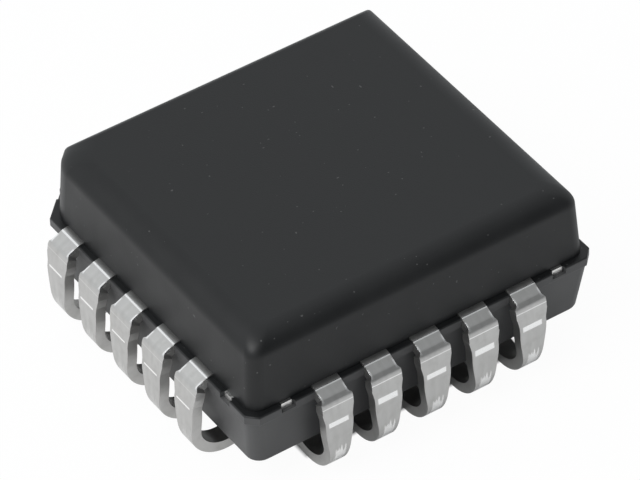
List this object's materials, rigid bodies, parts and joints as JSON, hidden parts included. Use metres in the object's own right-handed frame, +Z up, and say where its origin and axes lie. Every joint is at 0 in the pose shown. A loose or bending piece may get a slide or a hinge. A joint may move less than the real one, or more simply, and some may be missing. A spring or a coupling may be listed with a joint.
{
  "type": "plastic leaded chip carrier",
  "caption": "Square moulded chip package with tinned J-shaped leads along every side, a cut index corner and a bevelled top edge at pin one; soldered to a board or pressed into a socket.",
  "frame": {"origin": "middle of the seating plane under the curled feet of the leads", "axes": "+Z up out of the top face, pin 1 in the middle of the +Y side, index corner at -X +Y"},
  "size_m": [0.0098, 0.0098, 0.0042],
  "materials": {
    "mould_compound": "dark filled epoxy with a fine matte mould texture",
    "tinned_lead": "satin tin plating over copper alloy",
    "lead_frame": "stamped copper alloy, tinned where it is cut outside the body",
    "die_attach": "silver-filled epoxy film",
    "silicon": "polished silicon",
    "bond_wire": "drawn gold wire"
  },
  "bodies": {
    "root": {"body": "mould_compound", "lead_01": "tinned_lead", "lead_02": "tinned_lead", "lead_03": "tinned_lead", "lead_04": "tinned_lead", "lead_05": "tinned_lead", "lead_06": "tinned_lead", "lead_07": "tinned_lead", "lead_08": "tinned_lead", "lead_09": "tinned_lead", "lead_10": "tinned_lead", "lead_11": "tinned_lead", "lead_12": "tinned_lead", "lead_13": "tinned_lead", "lead_14": "tinned_lead", "lead_15": "tinned_lead", "lead_16": "tinned_lead", "lead_17": "tinned_lead", "lead_18": "tinned_lead", "lead_19": "tinned_lead", "lead_20": "tinned_lead", "die_paddle": "lead_frame", "die_attach": "die_attach", "die": "silicon", "bond_wire_01": "bond_wire", "bond_wire_02": "bond_wire", "bond_wire_03": "bond_wire", "bond_wire_04": "bond_wire", "bond_wire_05": "bond_wire", "bond_wire_06": "bond_wire", "bond_wire_07": "bond_wire", "bond_wire_08": "bond_wire", "bond_wire_09": "bond_wire", "bond_wire_10": "bond_wire", "bond_wire_11": "bond_wire", "bond_wire_12": "bond_wire", "bond_wire_13": "bond_wire", "bond_wire_14": "bond_wire", "bond_wire_15": "bond_wire", "bond_wire_16": "bond_wire", "bond_wire_17": "bond_wire", "bond_wire_18": "bond_wire", "bond_wire_19": "bond_wire", "bond_wire_20": "bond_wire"}
  },
  "joints": []
}
